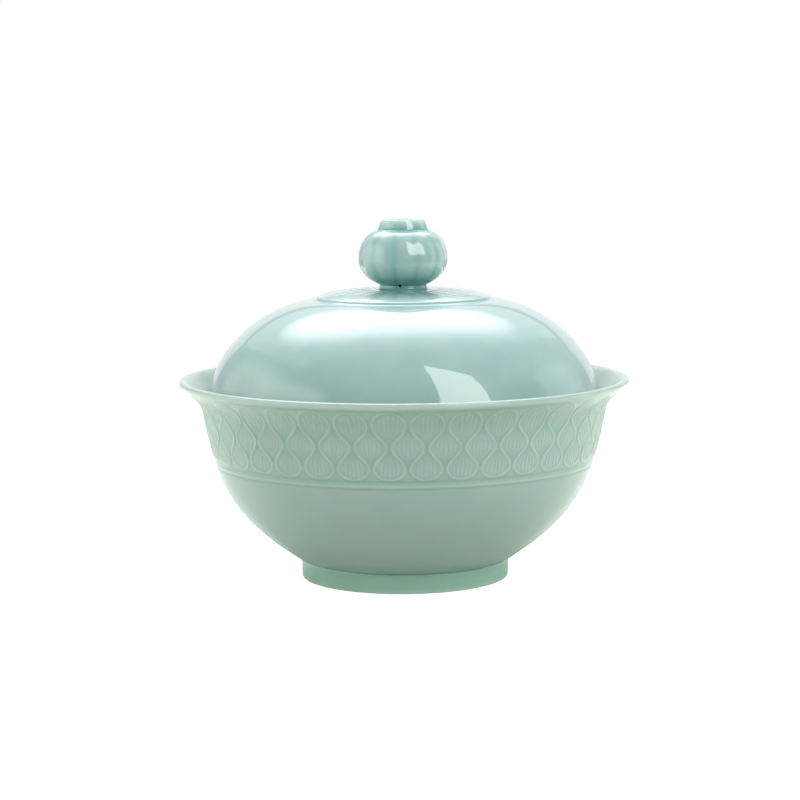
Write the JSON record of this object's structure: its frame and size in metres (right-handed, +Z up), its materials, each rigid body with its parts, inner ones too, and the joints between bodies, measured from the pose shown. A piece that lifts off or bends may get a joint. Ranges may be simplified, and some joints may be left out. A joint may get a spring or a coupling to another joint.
{
  "type": "lidded rice bowl",
  "caption": "Footed porcelain rice bowl with a flared lip and a loose domed lid that lifts off by a lobed melon knob.",
  "frame": {"origin": "centre of the resting face of the foot ring", "axes": "+Z up along the axis of the bowl and lid; -Y is the front, the side with the vent under the knob"},
  "size_m": [0.23, 0.23, 0.184],
  "materials": {
    "bowl_glaze": "pale blue-green celadon, satin, darker where it pools",
    "foot_glaze": "pale green celadon, satin, with a bare resting face",
    "lid_glaze": "pale blue-green celadon, high gloss"
  },
  "bodies": {
    "bowl": {"bowl_body": "bowl_glaze", "foot_ring": "foot_glaze"},
    "lid": {"lid_dome": "lid_glaze", "knob_collar": "lid_glaze", "lid_knob": "lid_glaze"}
  },
  "joints": [
    {"name": "lid_lift", "type": "slide", "parent": "bowl", "child": "lid", "axis": [0, 0, 1], "range_m": [0, 0.12]}
  ]
}
